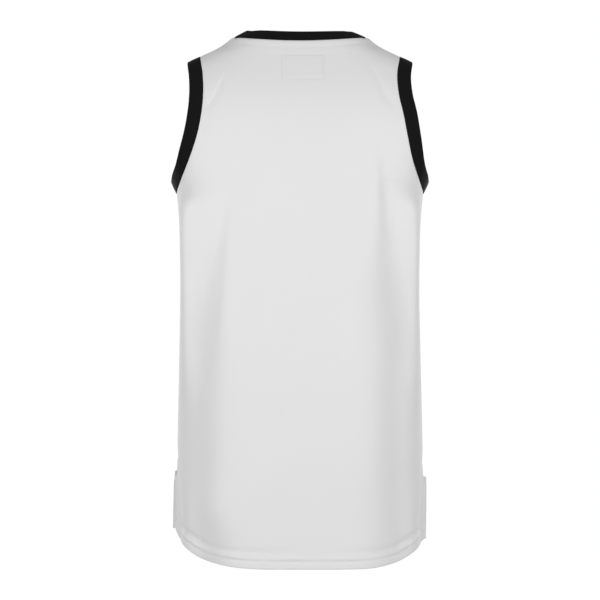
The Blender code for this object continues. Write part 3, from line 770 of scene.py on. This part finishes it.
x, z = np.linspace(*LABEL_SIDES, LABEL_GRID[0]), np.linspace(LABEL_FOOT, LABEL_TOP, LABEL_GRID[1])
x, z = np.meshgrid(x, z)
turn = turn_of(x, z)
inward = CLOTH + LABEL_GAP - LABEL_LIFT
label_points = cloth(BACK, turn, z) - inward * outward(BACK, turn, z)
label_run = np.stack([run_along(label_points, 1), run_along(label_points, 0)], -1)
pieces["neck_label"] = add_surface("neck_label_tape", label_points, label_run, flip=True)
give_wall(pieces["neck_label"], LABEL_WALL)
print("label", np.round(label_run[-1, -1], 4), "m,", triangles(pieces["neck_label"]), "triangles")

# %% [markdown]
# Stitches are many tiny things, so each group is one joined mesh: a capsule of a few faces, repeated by
# arrays. A stitch line is where the distance from an edge has one value. It crosses the grid's own lines
# between a nearer point and a farther one, and sorting those crossings by their length along the edge puts
# them in order.

# %% Stitch lines
STITCH_LENGTH, STITCH_GAP = 0.0023, 0.0009
THREAD_RADIUS = 0.00016
CAPSULE_SIDES = 6
CAPSULE = table("along thickness", [(-1.0, 0.25), (-0.8, 0.85), (0.0, 1.1), (0.8, 0.85), (1.0, 0.25)])
# The corners of the label's two rows of stitches: one round it, and a short one above its foot.
LABEL_ROWS = [
    [(0.0254, -0.0323), (0.0254, -0.0672), (-0.0344, -0.0694), (-0.0344, -0.0323), (0.0254, -0.0323)],
    [(0.0184, -0.0612), (-0.0156, -0.0607)],
]
LABEL_ROW_STEPS = 60


def crossings(field, distance, points, normals):
    """(points, normals) in order where a distance field has one value, between grid neighbours."""
    grid = np.dstack([*field, points, normals])
    found = []
    for near, far in ((grid[:-1], grid[1:]), (grid[:, :-1], grid[:, 1:])):
        hit = (near[..., 0] - distance) * (far[..., 0] - distance) < 0
        near, far = near[hit], far[hit]
        share = ((distance - near[:, 0]) / (far[:, 0] - near[:, 0]))[:, None]
        found.append(near * (1 - share) + far * share)
    found = np.vstack(found)
    found = found[found[:, 1].argsort()]
    return found[:, 2:5], unit(found[:, 5:])


def stitches_along(points, normals):
    """(middles, directions, normals) of stitches at equal steps along a line of points."""
    run = run_along(points, 0)
    steps = np.arange(STITCH_LENGTH, run[-1] - STITCH_LENGTH, STITCH_LENGTH + STITCH_GAP)
    half = STITCH_LENGTH / 2
    ahead = at_steps(points, run, steps + half) - at_steps(points, run, steps - half)
    return at_steps(points, run, steps), unit(ahead), unit(at_steps(normals, run, steps))


def add_stitches(name, rows):
    """A capsule of a few rings for each stitch, with its ends bent down into the cloth."""
    middles, ahead, normals = (np.vstack(parts) for parts in zip(*rows))
    beside = np.cross(normals, ahead)
    along = (CAPSULE["along"] * STITCH_LENGTH / 2)[:, None]
    thick = THREAD_RADIUS * CAPSULE["thickness"][:, None]
    bow = -THREAD_RADIUS * CAPSULE["along"][:, None] ** 2
    turn = np.arange(CAPSULE_SIDES) * 2 * math.pi / CAPSULE_SIDES
    points = (
        middles[:, None, None]
        + along[..., None] * ahead[:, None, None]
        + (thick * np.cos(turn))[..., None] * beside[:, None, None]
        + (thick * np.sin(turn) + bow)[..., None] * normals[:, None, None]
    )
    index = np.arange(points[..., 0].size).reshape(points.shape[:3])
    turned = np.roll(index, -1, axis=2)
    quads = np.stack([index[:, :-1], turned[:, :-1], turned[:, 1:], index[:, 1:]], -1)
    ends = np.stack([index[:, 0, ::-1], index[:, -1]], 1)
    faces = quads.reshape(-1, 4).tolist() + ends.reshape(-1, CAPSULE_SIDES).tolist()
    thread = add_mesh(name, points, faces)
    print(name, len(middles), "stitches,", triangles(thread), "triangles")
    return thread


def panel_stitches(panel):
    """The rows along the hem and vents and round the neck, and on the back the two beside the shoulders."""
    data = panels[panel]
    lines = [("free", HEM_DEPTH), ("neck", NECK_TAPE)]
    if data["side"] == BACK:
        lines += [("right_shoulder", SHOULDER_TAPE), ("left_shoulder", SHOULDER_TAPE)]
    return [
        stitches_along(*crossings(data["fields"][edge], distance, data["points"], data["normal"]))
        for edge, distance in lines
    ]


def label_stitches():
    """Round the label, and a short row above its foot."""
    rows = []
    for corners in map(np.array, LABEL_ROWS):
        steps = np.linspace(0, len(corners) - 1, LABEL_ROW_STEPS * (len(corners) - 1) + 1)
        x, z = at_steps(corners, np.arange(len(corners)), steps).T
        turn = turn_of(x, z)
        normal = outward(BACK, turn, z)
        lift = LABEL_LIFT - LABEL_GROOVE / 2
        rows.append(stitches_along(cloth(BACK, turn, z) + lift * normal, normal))
    return rows


threads = {panel: add_stitches(panel + "_stitches", panel_stitches(panel)) for panel in panels}
threads["neck_label"] = add_stitches("neck_label_stitches", label_stitches())

# %% [markdown]
# A finish is a small graph of nodes, and most of it is arithmetic on the pattern coordinates. So one helper
# feeds a node's inputs, others add a Math node or a wave, and one starts a material and its shader.

# %% Helpers for the finishes
def feed(node, inputs):
    """Gives each named input of a node its value, or links it to the socket that holds one."""
    for name, value in inputs.items():
        if isinstance(value, bpy.types.NodeSocket):
            node.id_data.links.new(value, node.inputs[name])
        else:
            node.inputs[name].default_value = value


def start_finish(name, roughness, gloss, sheen):
    """A material, its node tree and its shader."""
    material = bpy.data.materials.new(name)
    material.use_nodes = True
    shader = material.node_tree.nodes["Principled BSDF"]
    feed(shader, {"Roughness": roughness, "Specular IOR Level": gloss})
    feed(shader, {"Sheen Weight": sheen, "Sheen Roughness": 0.4})
    return material, material.node_tree, shader


def maths(operation, *values):
    """The output of a Math node on numbers and sockets, in the node tree of the sockets."""
    tree = next(value.id_data for value in values if not isinstance(value, (int, float)))
    node = tree.nodes.new("ShaderNodeMath")
    node.operation = operation
    feed(node, dict(enumerate(values)))
    return node.outputs[0]


def wave(place, length):
    """sin(2 pi place / length)."""
    return maths("SINE", maths("MULTIPLY", place, 2 * math.pi / length))


def object_place(tree):
    """The object's own coordinates."""
    return tree.nodes.new("ShaderNodeTexCoord").outputs["Object"]


def parts_of(vector):
    """A vector's three numbers."""
    split = vector.id_data.nodes.new("ShaderNodeSeparateXYZ")
    feed(split, {0: vector})
    return list(split.outputs)


def cloth_places(tree):
    """The two pattern coordinates, in metres."""
    uv = tree.nodes.new("ShaderNodeUVMap")
    uv.uv_map = "cloth"
    return parts_of(uv.outputs["UV"])[:2]


def cloudiness(tree, scale):
    """Soft noise from 0 to 1 on the object's own coordinates."""
    noise = tree.nodes.new("ShaderNodeTexNoise")
    feed(noise, {"Scale": scale, "Detail": 3, "Vector": object_place(tree)})
    return noise.outputs["Fac"]


def colour_between(shader, share, dark, light):
    """Base colour from dark to light as share goes from 0 to 1."""
    mix = shader.id_data.nodes.new("ShaderNodeMix")
    mix.data_type = "RGBA"
    feed(mix, {"A": (*dark, 1), "B": (*light, 1), "Factor": share})
    feed(shader, {"Base Color": mix.outputs["Result"]})


def bump(shader, height, distance, strength):
    """A Bump node into the shader's normal."""
    node = shader.id_data.nodes.new("ShaderNodeBump")
    feed(node, {"Distance": distance, "Strength": strength, "Height": height})
    feed(shader, {"Normal": node.outputs["Normal"]})


print("each finish starts from a Principled shader")

# %% [markdown]
# The body is a fine jersey knit. Up close, jersey is columns of small Vs: each column is one stitch wide,
# and each stitch has two legs that lean together. The distance from the column's middle, folded on itself,
# gives the legs, and adding it to the height makes them lean. At arm's length the knit only softens the
# light, so its relief is a tenth of a millimetre. Behind, the label's stitching pulls the cloth from
# inside. The base colour has painted shade: a little darker in the hollows of the knit, and darker again
# along the grooves of the label's stitching.

# %% Body cloth
WALE = 0.0011
COURSE = 0.0009
LEG_LEAN = 1.6
# Edges of two rectangles, grooves with painted shade: the label's outline, and a fainter line inside it.
OUTLINE = (-0.0349, 0.0259), (-0.0693, -0.0318)
INNER_LINE = (-0.0320, 0.0200), (-0.0592, -0.0318)
INNER_PULL = 0.5
# How much painted shade darkens the base colour in the label's stitched grooves.
PULL_SHADE = 1.7
PULL_WIDTH = 0.0013


def pull(place, edges):
    """1 on a rectangle's outline, and 0 farther than PULL_WIDTH from it. The distance is the larger of
    |x - middle| - half and |z - middle| - half."""
    gaps = []
    for axis, (low, high) in zip((place[0], place[2]), edges):
        off_middle = maths("ABSOLUTE", maths("SUBTRACT", axis, (low + high) / 2))
        gaps.append(maths("SUBTRACT", off_middle, (high - low) / 2))
    away = maths("DIVIDE", maths("ABSOLUTE", maths("MAXIMUM", *gaps)), PULL_WIDTH)
    near = maths("SUBTRACT", 1.0, maths("MINIMUM", away, 1.0))
    return maths("MULTIPLY", near, near)


body_cloth, tree, shader = start_finish("body_cloth_finish", 0.72, 0.25, 0.10)
across, up = cloth_places(tree)
fold = maths("PINGPONG", maths("DIVIDE", across, WALE), 0.5)
lean = maths("MULTIPLY_ADD", fold, LEG_LEAN, maths("DIVIDE", up, COURSE))
legs = maths("MULTIPLY_ADD", wave(fold, 1), 0.5, 0.25)
knit = maths("MULTIPLY_ADD", wave(lean, 1), 0.25, legs)
patchy = cloudiness(tree, 9.0)
# The colour share: random cloudiness, and painted shade that darkens the knit's hollows.
shade = maths("ADD", maths("MULTIPLY", knit, 0.5), maths("MULTIPLY", patchy, 0.5))
place = parts_of(object_place(tree))
inner = maths("MULTIPLY", pull(place, INNER_LINE), INNER_PULL)
strongest = maths("MAXIMUM", pull(place, OUTLINE), inner)
groove_and_painted_shade = maths("MULTIPLY", maths("GREATER_THAN", place[1], 0.0), strongest)
# Painted shade: the colour is darker in the grooves of the label's stitching, which are also bumped in.
shade = maths("SUBTRACT", shade, maths("MULTIPLY", groove_and_painted_shade, PULL_SHADE))
colour_between(shader, shade, (0.785, 0.785, 0.786), (0.815, 0.815, 0.815))
bump(shader, maths("SUBTRACT", maths("MULTIPLY", knit, 0.2), groove_and_painted_shade), 0.0005, 0.6)
print("body cloth has", len(tree.nodes), "nodes")

# %% [markdown]
# The bands are a denser rib in black. Ribs run across the band, so their pattern is a wave along it, and
# a finer wave across makes each rib a row of stitches.

# %% Band knit
RIB = 0.0016
RIB_STITCH = 0.0009

band_knit, tree, shader = start_finish("band_knit_finish", 0.85, 0.10, 0.01)
along, across = cloth_places(tree)
rib = maths("MULTIPLY_ADD", wave(along, RIB), 0.35, 0.5)
ribbed = maths("MULTIPLY_ADD", wave(across, RIB_STITCH), 0.15, rib)
colour_between(shader, ribbed, (0.004, 0.004, 0.004), (0.009, 0.009, 0.009))
bump(shader, ribbed, 0.0002, 0.5)
print("band knit has", len(tree.nodes), "nodes")

# %% [markdown]
# The label is a close plain weave, where two sets of threads cross at right angles, and the thread of the
# stitching is twisted, which shows as fine slanting lines.

# %% Label tape and thread
WEAVE = 0.0008
TWIST = 0.0006

label_tape, tree, shader = start_finish("label_tape_finish", 0.6, 0.25, 0.05)
warp, weft = (wave(place, WEAVE) for place in cloth_places(tree))
weave = maths("MULTIPLY_ADD", maths("MULTIPLY", warp, weft), 0.5, 0.5)
colour_between(shader, weave, (0.70, 0.70, 0.69), (0.76, 0.76, 0.75))
bump(shader, weave, 0.0001, 0.4)
print("label tape has", len(tree.nodes), "nodes")

thread_finish, tree, shader = start_finish("thread_finish", 0.55, 0.25, 0.10)
x, y, z = parts_of(object_place(tree))
slant = maths("ADD", maths("ADD", x, y), z)
twist = maths("MULTIPLY_ADD", wave(slant, TWIST), 0.5, 0.5)
colour_between(shader, twist, (0.66, 0.66, 0.66), (0.76, 0.76, 0.76))
bump(shader, twist, 0.00005, 0.5)
print("thread has", len(tree.nodes), "nodes")

# %% [markdown]
# Each piece now gets its finish and rides on the frame's one body, and the CAD part that it stands for is
# hidden.


finishes = {panel: (body_cloth, "body_cloth") for panel in panels}
finishes |= {band: (band_knit, "band_knit") for band in band_length}
finishes["neck_label"] = (label_tape, "label_tape")
for node, piece in pieces.items():
    material, slot = finishes[node]
    piece.data.materials.append(material)
    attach(piece, "root")
    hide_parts(node)
for node, thread in threads.items():
    thread.data.materials.append(thread_finish)
    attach(thread, "root")

for band, length in band_length.items():
    width = NECKBAND_WIDTH if band == "neckband" else ARMBAND_WIDTH

# %% [markdown]
# The floor is where the wearer's feet would be, below the view. It is a pale sheet and isn't part of the
# object. A studio floor is lit on its own, brighter than the light that it throws back at the clothes, so
# it glows a little, only where the camera sees it directly.

# %% Floor
FLOOR_HEIGHT = -1.45
FLOOR_REACH, FLOOR_POINTS = 3.6, 25
FLOOR_GLOW = 0.45

steps = np.linspace(-FLOOR_REACH, FLOOR_REACH, FLOOR_POINTS)
across, ahead = np.meshgrid(steps, steps)
floor_points = np.stack([across, ahead, np.full(across.shape, FLOOR_HEIGHT)], -1)
floor = add_surface("floor", floor_points, floor_points[..., :2])
floor_finish, tree, shader = start_finish("floor_finish", 0.8, 0.2, 0.0)
colour_between(shader, cloudiness(tree, 3.0), (0.80, 0.80, 0.80), (0.84, 0.84, 0.84))
seen = tree.nodes.new("ShaderNodeLightPath").outputs["Is Camera Ray"]
feed(shader, {"Emission Color": (1, 1, 1, 1), "Emission Strength": maths("MULTIPLY", seen, FLOOR_GLOW)})
floor.data.materials.append(floor_finish)
print("floor at", FLOOR_HEIGHT, "m")

# %% [markdown]
# Product photographs of white clothes are lit with large soft sources, so the cloth shades only a little.
# The world is white where the camera looks at it directly, and dimmer as a light. Large softboxes stand on
# both sides, before and behind, so every side is lit alike.

# %% Lights
BACKDROP, AMBIENT = 1.02, 0.34
SOFTBOX = (0.9, 1.3)
SOFTBOX_POWER = 12.95
SOFTBOX_AZIMUTH, SOFTBOX_DISTANCE, SOFTBOX_HEIGHT = 37, 1.8, -0.04
LIT_MIDDLE = np.array([0.0, 0.0, -0.38])

world = bpy.data.worlds.new("white_studio")
bpy.context.scene.world = world
world.use_nodes = True
tree = world.node_tree
seen = tree.nodes.new("ShaderNodeLightPath").outputs["Is Camera Ray"]
strength = maths("MULTIPLY_ADD", seen, BACKDROP - AMBIENT, AMBIENT)
feed(tree.nodes["Background"], {"Color": (1, 1, 1, 1), "Strength": strength})

for degrees in (180 - SOFTBOX_AZIMUTH, 180 + SOFTBOX_AZIMUTH, -SOFTBOX_AZIMUTH, SOFTBOX_AZIMUTH):
    azimuth = math.radians(degrees)
    box = bpy.data.lights.new("softbox", "AREA")
    box.shape, box.size, box.size_y = "RECTANGLE", *SOFTBOX
    box.energy = SOFTBOX_POWER
    lamp = add_object("softbox", box)
    place = SOFTBOX_DISTANCE * np.array([math.sin(azimuth), -math.cos(azimuth), 0]) + [0, 0, SOFTBOX_HEIGHT]
    lamp.location = place
    aim = unit(LIT_MIDDLE - place)
    lamp.rotation_euler = (math.acos(-aim[2]), 0, math.atan2(-aim[0], aim[1]))
bpy.context.scene.view_settings.view_transform = "Standard"
print("4 softboxes of", SOFTBOX_POWER, "W")
